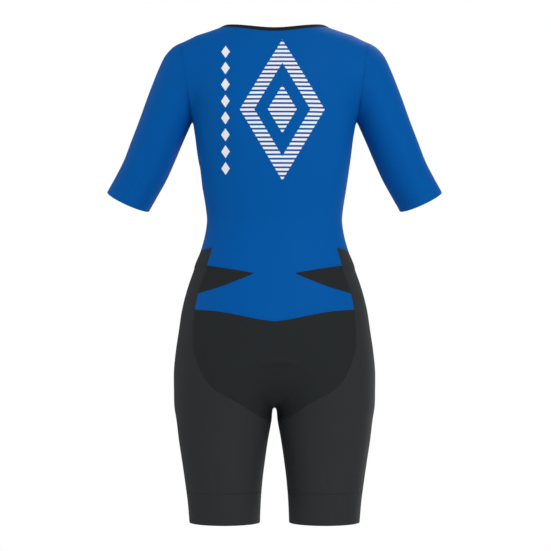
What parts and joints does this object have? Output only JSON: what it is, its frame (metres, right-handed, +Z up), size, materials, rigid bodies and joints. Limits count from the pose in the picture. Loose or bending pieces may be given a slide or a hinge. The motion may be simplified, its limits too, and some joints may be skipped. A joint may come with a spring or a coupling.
{
  "type": "triathlon speedsuit",
  "caption": "Short-sleeved, short-legged one-piece racing suit with a front zip and seat pad, hollow in its worn shape.",
  "frame": {"origin": "on the middle line at the height of the neck side points, between the shoulders that carry the suit", "axes": "+Z up along the wearer, +X to the wearer's left, +Y to the wearer's back, -Y to the front with the zip"},
  "size_m": [0.6158, 0.245, 0.9088],
  "materials": {
    "blue_knit": "matt stretch knit",
    "seat_knit": "matt stretch knit",
    "leg_knit": "matt stretch knit",
    "leg_band_knit": "firm knit band",
    "neck_binding_knit": "folded knit binding",
    "pad_fleece": "fleece over thin foam",
    "zip_tape_weave": "woven zip tape",
    "zip_metal": "dark satin"
  },
  "bodies": {
    "suit": {"back_panel": "blue_knit", "back_wedge_left": "seat_knit", "back_wedge_right": "seat_knit", "seat_panel": "seat_knit", "front_lower_panel": "seat_knit", "front_panel_left": "blue_knit", "front_panel_right": "blue_knit", "leg_panel_left": "leg_knit", "leg_panel_right": "leg_knit", "leg_band_left": "leg_band_knit", "leg_band_right": "leg_band_knit", "sleeve_left": "blue_knit", "sleeve_right": "blue_knit", "neck_binding": "neck_binding_knit", "chamois_pad": "pad_fleece", "zip_tape": "zip_tape_weave", "zip_slider": "zip_metal"},
    "pull_tab": {"zip_pull_tab": "zip_metal"}
  },
  "joints": [
    {"name": "tab_hinge", "type": "hinge", "parent": "suit", "child": "pull_tab", "pos_m": [0, -0.07856, -0.06686], "axis": [-1, 0, 0], "range_deg": [0, 150]}
  ]
}
